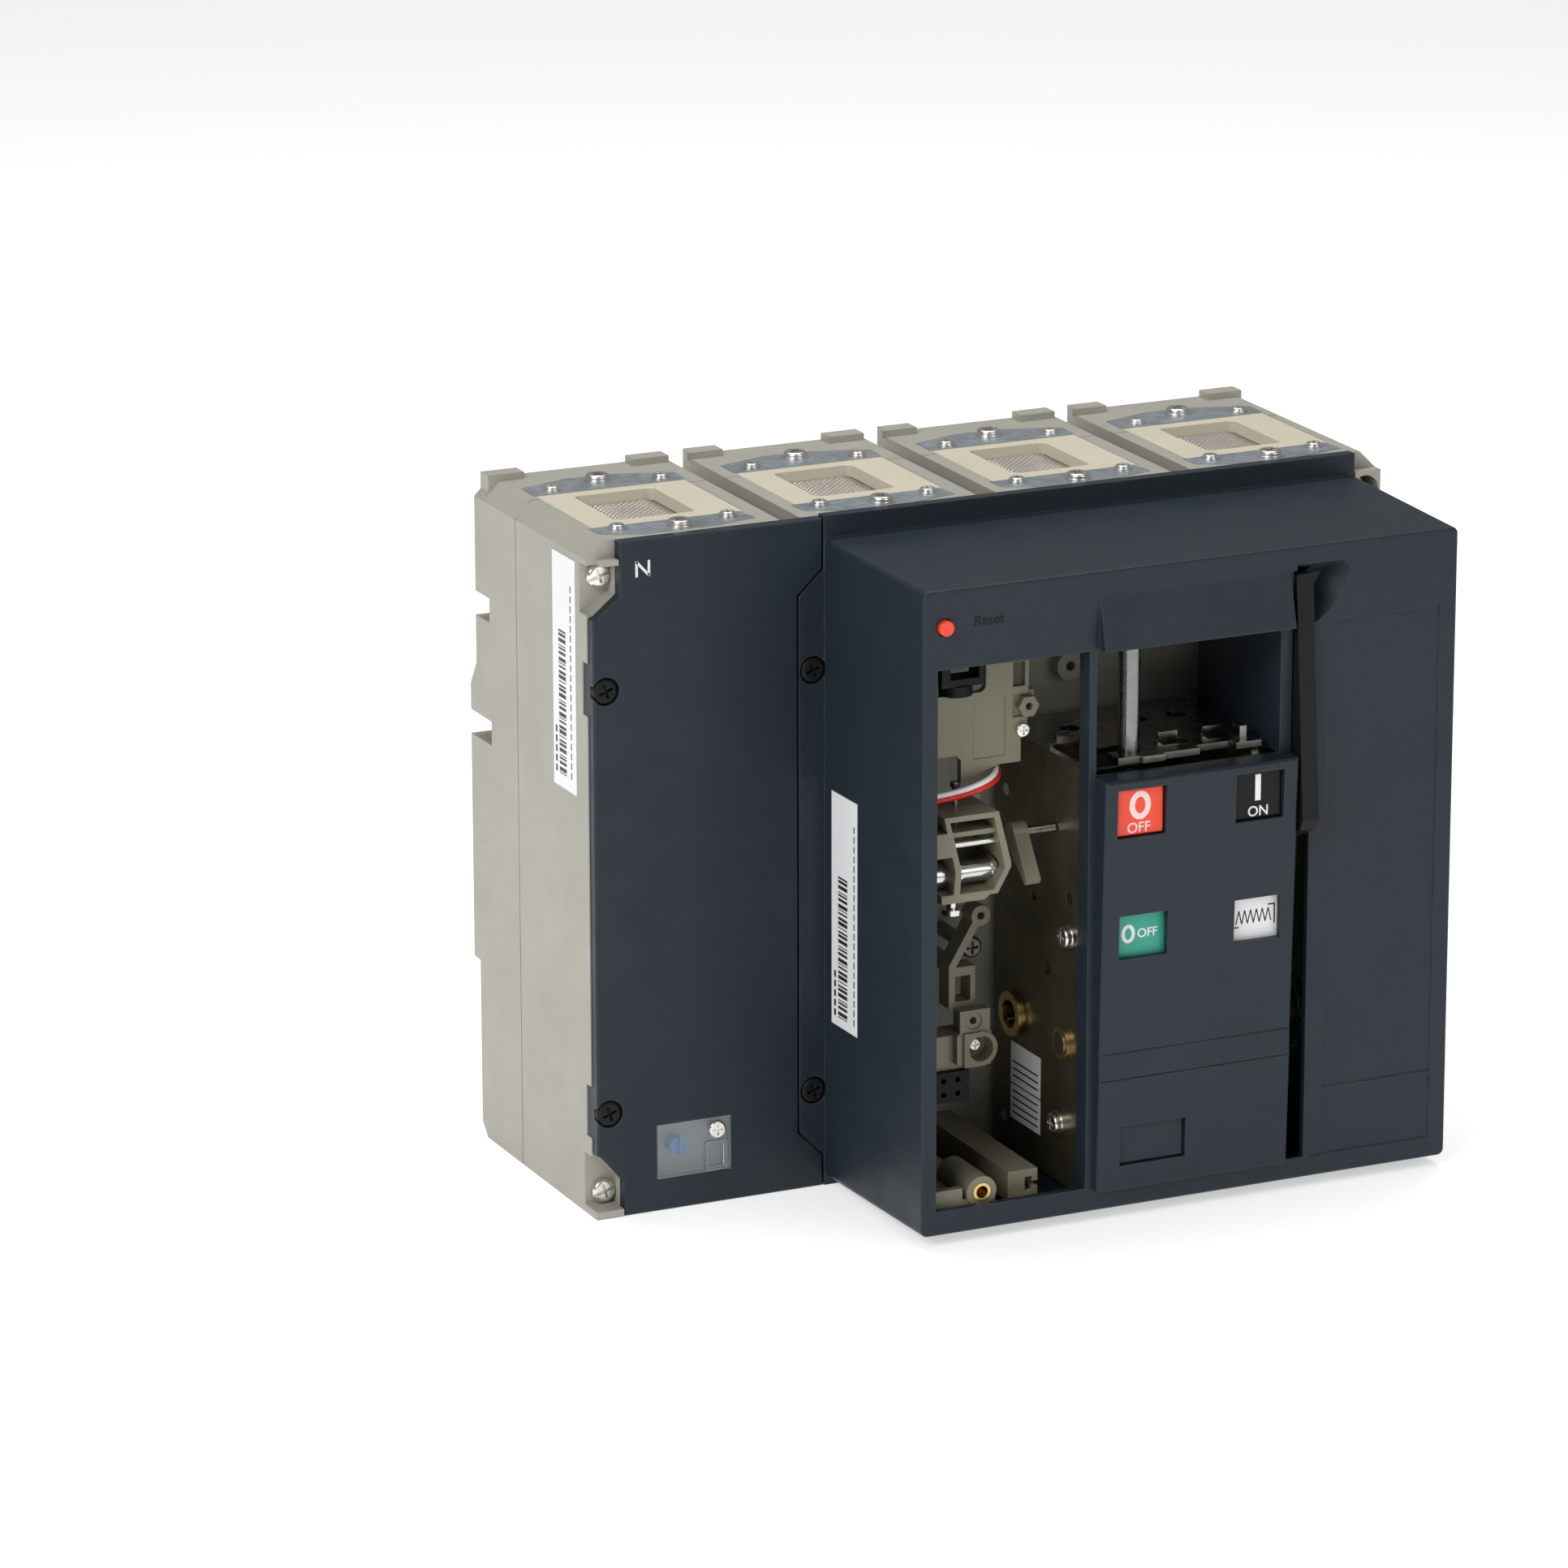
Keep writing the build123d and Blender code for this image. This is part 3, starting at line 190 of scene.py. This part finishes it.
def edge_wear_and_highlight(tree, radius):
    """Grey value that is high along sharp edges, where the rounded normal leaves the true one; it masks
    the edges' rubbed wear and painted highlight.
    """
    rounded = rounded_edges(tree, radius)
    geometry = tree.nodes.new("ShaderNodeNewGeometry")
    dot = tree.nodes.new("ShaderNodeVectorMath")
    dot.operation = "DOT_PRODUCT"
    tree.links.new(rounded.outputs["Normal"], dot.inputs[0])
    tree.links.new(geometry.outputs["Normal"], dot.inputs[1])
    flip = tree.nodes.new("ShaderNodeMath")
    flip.operation = "SUBTRACT"
    flip.inputs[0].default_value = 1.0
    tree.links.new(dot.outputs["Value"], flip.inputs[1])
    return flip.outputs["Value"]


def finish_normal(tree, shader, height, strength, distance, edge_radius):
    """Rounds the edges' shading and lays the bump over it."""
    rounded = rounded_edges(tree, edge_radius)
    bump = tree.nodes.new("ShaderNodeBump")
    bump.inputs["Strength"].default_value = strength
    bump.inputs["Distance"].default_value = distance
    tree.links.new(height, bump.inputs["Height"])
    tree.links.new(rounded.outputs["Normal"], bump.inputs["Normal"])
    tree.links.new(bump.outputs["Normal"], shader.inputs["Normal"])


def moulded(name, colour, rough, grain=1400.0, grain_depth=0.25, mottle=0.06, wear_and_highlight=0.5, specular=0.5):
    """Moulded plastic: fine spark-eroded grain, faint mottling, and lighter edges that are partly rubbed
    wear and partly painted highlight.
    """
    material, tree, shader = new_material(name, rough)
    edge = 0.0004
    shader.inputs["Specular IOR Level"].default_value = specular
    cloudy = cloud(tree, noise(tree, 26.0, 5.0), 0.3, 0.7, colour, 1 - mottle, 1 + mottle)
    fine = cloud(tree, noise(tree, grain, 2.0), 0.35, 0.75, colour, 1 - mottle, 1 + 1.6 * mottle)
    body = mix(tree, noise(tree, 300.0, 2.0), cloudy, fine)
    # painted highlight: the edges are made lighter, partly for rubbed wear and partly for light caught on
    # the rounded edges
    worn_and_highlit_edge = ramp(tree, edge_wear_and_highlight(tree, 2.2 * edge), 0.03, 0.5, (0, 0, 0), (wear_and_highlight, wear_and_highlight, wear_and_highlight))
    palest = tuple(0.5 * c + 0.12 for c in colour)
    pale = ramp(tree, noise(tree, 90.0, 4.0), 0.3, 0.7, tint(colour, 1.5), palest)
    tree.links.new(mix(tree, worn_and_highlit_edge, body, pale), shader.inputs["Base Color"])
    sheen = gloss(tree, noise(tree, 60.0, 4.0), 0.3, 0.7, rough, 0.07, 0.07)
    tree.links.new(sheen, shader.inputs["Roughness"])
    finish_normal(tree, shader, noise(tree, grain, 3.0), grain_depth, 0.0002, edge)
    return material


def brushed(name, colour, rough, stretch=(1, 1, 1), grain=900.0, mottle=0.14, metallic=0.9):
    """Plated or bare metal: cloudy plating, fine scratches along one way, brighter edges that are partly
    rubbed metal and partly painted highlight.
    """
    material, tree, shader = new_material(name, rough, metallic)
    edge = 0.0002
    cloudy = cloud(tree, noise(tree, 70.0, 5.0), 0.3, 0.72, colour, 1 - 2 * mottle, 1 + mottle)
    fine = cloud(tree, noise(tree, grain, 3.0, stretch), 0.3, 0.7, colour, 1 - mottle, 1 + mottle)
    body = mix(tree, noise(tree, 160.0, 3.0), cloudy, fine)
    # painted highlight: the edges are made brighter, partly for rubbed metal and partly for light caught
    # on the edges
    worn_and_highlit_edge = ramp(tree, edge_wear_and_highlight(tree, 2 * edge), 0.03, 0.5, (0, 0, 0), (0.6, 0.6, 0.6))
    bright = cloud(tree, noise(tree, 200.0, 2.0), 0.3, 0.7, colour, 1.2, 1.6)
    tree.links.new(mix(tree, worn_and_highlit_edge, body, bright), shader.inputs["Base Color"])
    sheen = gloss(tree, noise(tree, 240.0, 4.0, stretch), 0.25, 0.75, rough, 0.08, 0.12)
    tree.links.new(sheen, shader.inputs["Roughness"])
    finish_normal(tree, shader, noise(tree, grain, 3.0, stretch), 0.18, 0.0001, edge)
    return material


def clear_plastic(name):
    """Faintly blue clear plastic, almost smooth."""
    material, tree, shader = new_material(name, 0.08)
    shader.inputs["Base Color"].default_value = (0.9, 0.95, 1.0, 1)
    shader.inputs["Transmission Weight"].default_value = 0.92
    shader.inputs["IOR"].default_value = 1.45
    finish_normal(tree, shader, noise(tree, 500.0, 2.0), 0.05, 0.0001, 0.0002)
    return material


COVER = (0.0175, 0.025, 0.0345)
CASING = (0.365, 0.355, 0.30)
# the bay's colour is partly its parts' own darker tone and partly painted shade of the recessed bay
BAY_COLOUR_AND_SHADE = (0.20, 0.188, 0.128)


def glossy(name, colour, rough=0.36, mottle=0.02):
    """The smooth bright plastic of buttons and flags."""
    return moulded(name, colour, rough, grain=2200, grain_depth=0.06, mottle=mottle, wear_and_highlight=0.1)


def ink(name, colour, rough=0.5, mottle=0.02):
    return moulded(name, colour, rough, grain=2400, grain_depth=0.05, mottle=mottle, wear_and_highlight=0.0)


SLOT_MATERIALS = {
    "casing_moulding": moulded("casing_moulding", CASING, 0.46, grain=700, grain_depth=0.15, mottle=0.05),
    # the cover's strong edge lightening is partly rubbed wear and partly painted highlight on its rounded
    # edges
    "cover_moulding": moulded("cover_moulding", COVER, 0.42, grain=1500, grain_depth=0.32, mottle=0.12,
                              wear_and_highlight=0.6, specular=0.25),
    "arc_ceramic": moulded("arc_ceramic", (0.60, 0.55, 0.43), 0.5, grain=900, grain_depth=0.12,
                           mottle=0.03),
    "zinc_plate": brushed("zinc_plate", (0.34, 0.375, 0.405), 0.42, grain=500, mottle=0.16,
                          metallic=0.75),
    "bright_steel": brushed("bright_steel", (0.78, 0.76, 0.72), 0.24, grain=1200, mottle=0.08,
                            metallic=1.0),
    "gauze": brushed("gauze", (0.36, 0.33, 0.29), 0.42, metallic=0.8),
    "copper": brushed("copper", (0.72, 0.38, 0.24), 0.32, stretch=(1, 1, 12), metallic=1.0),
    "dark_steel": brushed("dark_steel", (0.26, 0.25, 0.24), 0.38, grain=700, metallic=1.0),
    "brass": brushed("brass", (0.83, 0.60, 0.24), 0.24, metallic=1.0),
    "black_plastic": moulded("black_plastic", (0.008, 0.008, 0.009), 0.48, grain=1600, mottle=0.1,
                             wear_and_highlight=0.2, specular=0.2),
    "red_plastic": glossy("red_plastic", (0.86, 0.058, 0.018), rough=0.34),
    "green_plastic": glossy("green_plastic", (0.025, 0.33, 0.235)),
    "white_plastic": glossy("white_plastic", (0.82, 0.82, 0.83), mottle=0.015),
    "blue_plastic": glossy("blue_plastic", (0.015, 0.23, 0.55), rough=0.34, mottle=0.03),
    "clear_plastic": clear_plastic("clear_plastic"),
    "bay_moulding": moulded("bay_moulding", BAY_COLOUR_AND_SHADE, 0.45, grain=1100, grain_depth=0.18, mottle=0.06),
    "lead_insulation": moulded("lead_insulation", (0.7, 0.03, 0.02), 0.4, mottle=0.03),
    "label_paper": moulded("label_paper", (0.84, 0.86, 0.87), 0.5, grain=2400, grain_depth=0.04,
                           mottle=0.03, wear_and_highlight=0.0),
}
PRINT_WHITE = ink("print_white", (0.86, 0.86, 0.86))
PRINT_BLACK = ink("print_black", (0.02, 0.02, 0.02), mottle=0.1)
PRINT_PINK = ink("print_pink", (0.93, 0.70, 0.68), rough=0.45)
SIDE_PLATE = brushed("side_plate_chromate", (0.17, 0.155, 0.10), 0.34, stretch=(1, 6, 1), grain=400,
                     mottle=0.25, metallic=0.85)
SHELF_PLATE = brushed("shelf_zinc", (0.26, 0.255, 0.23), 0.24, grain=300, mottle=0.1, metallic=1.0)
BAY_STEEL = brushed("bay_steel", (0.64, 0.64, 0.62), 0.2, grain=1200, mottle=0.08, metallic=1.0)
# painted shade: a darkened copy of the bay steel, for the shade on the column deep in the bay
SHADED_COLUMN_STEEL = brushed("shaded_column_steel", (0.24, 0.245, 0.235), 0.26, grain=1200, mottle=0.08,
                       metallic=1.0)

# nodes whose finish differs from the rest of their slot; the steel column's darker steel is painted shade
NODE_MATERIALS = {"left_side_plate": SIDE_PLATE, "right_side_plate": SIDE_PLATE,
                  "shelf_plate": SHELF_PLATE, "steel_column": SHADED_COLUMN_STEEL, "release_rods": BAY_STEEL,
                  "trip_plunger": BAY_STEEL, "frame_spacers": BAY_STEEL}

LEVER_PIN_LEFT = -0.01118               # the trip lever's pin lies to the right of this
BLACK_SCREW_X = (-0.022, -0.012)        # the one black screw low in the bay
BLACK_SCREW_Z = (0.07, 0.09)


def dress_frame():
    """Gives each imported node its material."""
    slots = {part["node"]: part["material_slot"] for part in frame["record"]["subparts"]}
    for name, node in frame["nodes"].items():
        material = NODE_MATERIALS.get(name) or SLOT_MATERIALS[slots[name]]
        node.data.materials.clear()
        node.data.materials.append(material)


def paint_faces(node, material, inside):
    """A second material on the faces whose middle is inside."""
    piece = frame["nodes"][node]
    piece.data.materials.append(material)
    for face in piece.data.polygons:
        if inside(piece.matrix_world @ face.center):
            face.material_index = 1


def is_lever_pin(spot):
    return spot.x > LEVER_PIN_LEFT


def is_black_screw(spot):
    return (BLACK_SCREW_X[0] < spot.x < BLACK_SCREW_X[1]
            and BLACK_SCREW_Z[0] < spot.z < BLACK_SCREW_Z[1])


# ---------------------------------------------------------------- pieces

def new_piece(name, mesh, material, body):
    """A piece of the object that rides on a body and takes the given material."""
    piece = bpy.data.objects.new(name, mesh)
    bpy.context.scene.collection.objects.link(piece)
    piece.data.materials.append(material)
    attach(piece, body)
    return piece


def slab_mesh(name, slabs):
    """Thin closed slabs, each a near outline and the far outline behind it, in mm."""
    shape = bmesh.new()
    for slab in slabs:
        near, far = ([shape.verts.new([value * MM for value in point]) for point in outline]
                     for outline in slab)
        count = len(near)
        shape.faces.new(near)
        shape.faces.new(far[::-1])
        for i in range(count):
            after = (i + 1) % count
            shape.faces.new((near[i], far[i], far[after], near[after]))
    bmesh.ops.recalc_face_normals(shape, faces=shape.faces)
    mesh = bpy.data.meshes.new(name)
    shape.to_mesh(mesh)
    shape.free()
    return mesh


def plate_mesh(name, outlines, depth, thickness=PRINT_PROUD):
    """Flat printed shapes on a plane that faces the front: each outline is a list of (x, z) in mm."""
    return slab_mesh(name, [([(x, depth - thickness, z) for x, z in outline],
                             [(x, depth, z) for x, z in outline]) for outline in outlines])


def side_print(name, boxes, surface):
    """Black print on a label that faces left: boxes of (y0, y1, z0, z1) in mm, laid on surface(y)."""
    slabs = []
    for y0, y1, z0, z1 in boxes:
        corners = [(y0, z0), (y1, z0), (y1, z1), (y0, z1)]
        slabs.append(([(surface(y) - SIDE_PRINT_PROUD, y, z) for y, z in corners],
                      [(surface(y), y, z) for y, z in corners]))
    new_piece(name, slab_mesh(name, slabs), PRINT_BLACK, "casing")


def bar(x0, z0, x1, z1, width):
    """Outline of a straight stroke from one point to another."""
    along = Vector((x1 - x0, z1 - z0)).normalized() * (width / 2)
    side = Vector((-along.y, along.x))
    return [(x0 + side.x, z0 + side.y), (x0 - side.x, z0 - side.y), (x1 - side.x, z1 - side.y),
            (x1 + side.x, z1 + side.y)]


def ring_segments(x, z, width, height, stroke):
    """Outlines of the short quads that make an oval ring, a nought."""
    parts = 28
    outer = (width / 2, height / 2)
    inner = (width / 2 - stroke, height / 2 - stroke)

    def spot(radii, angle):
        return x + radii[0] * math.cos(angle), z + radii[1] * math.sin(angle)

    quads = []
    for i in range(parts):
        a = math.radians(360.0 * i / parts)
        b = math.radians(360.0 * (i + 1) / parts)
        quads.append([spot(outer, a), spot(outer, b), spot(inner, b), spot(inner, a)])
    return quads


def zigzag(x0, z0, x1, height, teeth, stroke):
    """Outlines of the strokes of a spring's symbol."""
    step = (x1 - x0) / (2 * teeth)
    corners = [(x0 + i * step, z0 + (height if i % 2 else 0)) for i in range(2 * teeth + 1)]
    return [bar(*a, *b, stroke) for a, b in zip(corners, corners[1:])]


def word(name, text, x, z, size, depth, material, body):
    """A short function word, as flat print on a plane that faces the front."""
    data = bpy.data.curves.new(name, "FONT")
    data.body = text
    data.size = size * MM
    data.extrude = 0.00002    # half of the print's thickness
    data.offset = 0.00006     # makes the strokes bolder
    source = bpy.data.objects.new(name + "_source", data)
    bpy.context.scene.collection.objects.link(source)
    bpy.context.view_layer.update()
    mesh = bpy.data.meshes.new_from_object(source)
    bpy.data.objects.remove(source)
    mesh.transform(Matrix.Translation((x * MM, depth * MM, z * MM)) @ Matrix.Rotation(math.pi / 2, 4, "X"))
    new_piece(name, mesh, material, body)


def mark(name, outlines, depth, material, body, thickness=PRINT_PROUD):
    new_piece(name, plate_mesh(name, outlines, depth, thickness), material, body)


def add_marks():
    """Function marks on the buttons and flags, the neutral pole's letter and the reset button's word."""
    button = -122.0
    flag = -119.4
    cover = -117.26
    neutral_cover = -48.0
    half_ink = PRINT_PROUD / 2
    field_ink = 0.03
    on_field = flag - field_ink
    black = "black_plastic"
    mark("off_mark", ring_segments(14.4, 138.4, 7.6, 9.4, 2.0), button, PRINT_PINK, "off_button")
    word("off_word", "OFF", 9.8, 129.6, 4.7, button - half_ink, PRINT_PINK, "off_button")
    mark("on_mark", [bar(56.2, 134.6, 56.2, 143.2, 2.0)], button, PRINT_WHITE, "on_button")
    word("on_word", "ON", 52.6, 129.6, 4.7, button - half_ink, PRINT_WHITE, "on_button")

    # the contact flag: green with OFF below, a white field with ON above
    mark("open_mark", ring_segments(12.0, 95.6, 4.8, 6.2, 1.2), flag, PRINT_WHITE, "contact_flag")
    word("open_word", "OFF", 15.2, 94.0, 4.1, flag - half_ink, PRINT_WHITE, "contact_flag")
    field = [(6.7, 103.0), (25.3, 103.0), (25.3, 117.6), (6.7, 117.6)]
    mark("closed_field", [field], flag, PRINT_WHITE, "contact_flag", field_ink)
    mark("closed_mark", [bar(12.0, 107.2, 12.0, 113.4, 1.3)], on_field, PRINT_BLACK, "contact_flag")
    word("closed_word", "ON", 15.2, 108.6, 4.1, on_field - half_ink, PRINT_BLACK, "contact_flag")

    # the spring flag: a loose spring between its stops below, a tight one above
    relaxed = zigzag(50.4, 93.4, 63.0, 4.4, 6, 0.4)
    mark("relaxed_mark", relaxed, flag, PRINT_BLACK, "spring_flag")
    stops = [bar(49.0, 92.4, 51.4, 92.4, 0.5), bar(61.8, 98.8, 64.4, 98.8, 0.5),
             bar(64.2, 92.4, 64.2, 98.8, 0.5)]
    mark("relaxed_bars", stops, flag, PRINT_BLACK, "spring_flag")
    tight = zigzag(53.2, 107.6, 61.0, 5.0, 7, 0.4)
    mark("tight_mark", tight, flag, PRINT_BLACK, "spring_flag")

    letter = [bar(-124.6, 210.1, -124.6, 215.3, 0.85), bar(-120.4, 210.1, -120.4, 215.3, 0.85),
              bar(-124.7, 215.1, -120.3, 210.3, 0.85)]
    for i, stroke in enumerate(letter):
        new_piece("neutral_mark_" + str(i), plate_mesh("neutral_mark", [stroke], neutral_cover),
                  PRINT_WHITE, "casing")
    # painted shade: the embossed word is given the darker black plastic so it shows as its relief's
    # shading would
    word("reset_word", "Reset", -41.6, 201.8, 4.6, cover, SLOT_MATERIALS[black], "casing")


# the x of each label's face in mm, at a given y
def casing_side(y):
    return -140.15


def cover_side(y):
    """The front cover's side leans by one degree."""
    return -60.05 + (-48.0 - y) * math.tan(math.radians(1.0))


def bay_side(y):
    return -0.15


def code_rows(y0, y1, low, high):
    """Bars of uneven width across the label, like a printed code."""
    bars = []
    z = low
    i = 0
    while z < high:
        thick = 0.35 + 0.3 * (i * 7 % 4)
        bars.append((y0, y1, z, z + thick))
        z += thick + 0.45 + 0.25 * (i * 5 % 3)
        i += 1
    return bars


def dashes(y, low, high, thick):
    """A row of short dashes up the label, like a line of small print."""
    length = 2.2
    pitch = 3.2
    starts = [low + pitch * i for i in range(int((high - low) / pitch))]
    return [(y, y + thick, z, z + length) for z in starts]


def add_label_prints():
    """Plain stripes and blocks, with no wording, on the blank labels."""
    rows = (code_rows(-27.5, -22.0, 142.0, 190.0) + dashes(-31.8, 142.0, 208.0, 0.7)
            + dashes(-20.4, 142.0, 160.0, 1.3))
    side_print("casing_label_rows", rows, casing_side)
    rows = (code_rows(-64.5, -58.0, 60.0, 108.0) + dashes(-69.6, 60.0, 128.0, 0.7)
            + dashes(-56.4, 60.0, 78.0, 1.3))
    side_print("cover_label_rows", rows, cover_side)
    rows = [(-81.5, -63.5, z, z + 0.6) for z in (21.0, 23.4, 25.8, 28.2, 33.4, 35.8, 38.2)]
    side_print("bay_label_rows", rows, bay_side)


def add_gauze():
    """Woven wire patches, domed: a fine grid whose warp and weft rise and dip in turn."""
    low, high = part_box("arc_gauzes")
    patches = 4
    patch_width = 0.0311
    pitch = 0.0011
    steps = 4                # faces across one wire
    weave = 0.0003
    rim = high.z - 0.0024
    flat_edge = 0.0022
    shoulder = 0.006
    rise = 0.0019
    columns = int(patch_width / pitch) * steps
    rows = int((high.y - low.y) / pitch) * steps
    shape = bmesh.new()
    for i in range(patches):
        left = low.x + i * (high.x - low.x - patch_width) / (patches - 1)
        grid = []
        for r in range(rows + 1):
            y = low.y + (high.y - low.y) * r / rows
            line = []
            for c in range(columns + 1):
                x = left + patch_width * c / columns
                warp = math.cos(math.pi * c / steps) * math.sin(math.pi * r / steps)
                inward = min(x - left, left + patch_width - x, y - low.y, high.y - y)
                lift = max(0.0, min(1.0, (inward - flat_edge) / shoulder))
                dome = rise * (1 - (1 - lift) ** 2)
                line.append(shape.verts.new((x, y, rim + dome + weave * warp)))
            grid.append(line)
        for r in range(rows):
            for c in range(columns):
                shape.faces.new((grid[r][c], grid[r][c + 1], grid[r + 1][c + 1], grid[r + 1][c]))
    mesh = bpy.data.meshes.new("woven_gauze")
    shape.to_mesh(mesh)
    shape.free()
    for face in mesh.polygons:
        face.use_smooth = True
    gauze = new_piece("woven_gauze", mesh, SLOT_MATERIALS["gauze"], "casing")
    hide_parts("arc_gauzes")


def add_lead(name, right, down, colour):
    """A lead held at both ends: one smooth curve, shifted to the right and down from the upper one."""
    route = [(-52.0, -100.0, 142.4 - down), (-43.0 + right, -100.5, 143.2 - down),
             (-34.5 + right, -101.0, 144.4 - down), (-27.0 + right, -100.2, 146.4 - down),
             (-21.5 + right, -94.0, 147.4 - down), (-18.4 + right, -84.0, 149.0 - down)]
    data = bpy.data.curves.new(name, "CURVE")
    data.dimensions = "3D"
    data.bevel_depth = 0.0009
    data.bevel_resolution = 5
    data.resolution_u = 16
    spline = data.splines.new("NURBS")
    spline.points.add(len(route) - 1)
    for point, place in zip(spline.points, route):
        point.co = (*(Vector(place) * MM), 1)
    spline.use_endpoint_u = True
    spline.order_u = 3
    lead = bpy.data.objects.new(name, data)
    bpy.context.scene.collection.objects.link(lead)
    data.materials.append(moulded(name + "_sleeve", colour, 0.4, grain=2500, grain_depth=0.05,
                                  mottle=0.03, wear_and_highlight=0.0))
    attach(lead, "casing")
    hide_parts("coil_leads")


bpy.context.scene.view_settings.view_transform = "Standard"
add_camera()
add_studio()
add_floor()
dress_frame()
paint_faces("trip_lever", BAY_STEEL, is_lever_pin)
paint_faces("small_screws", SLOT_MATERIALS["dark_steel"], is_black_screw)
add_marks()
add_label_prints()
add_gauze()
add_lead("white_lead", 0.0, 0.0, (0.85, 0.85, 0.83))
add_lead("red_lead", 0.9, 1.6, (0.72, 0.02, 0.015))
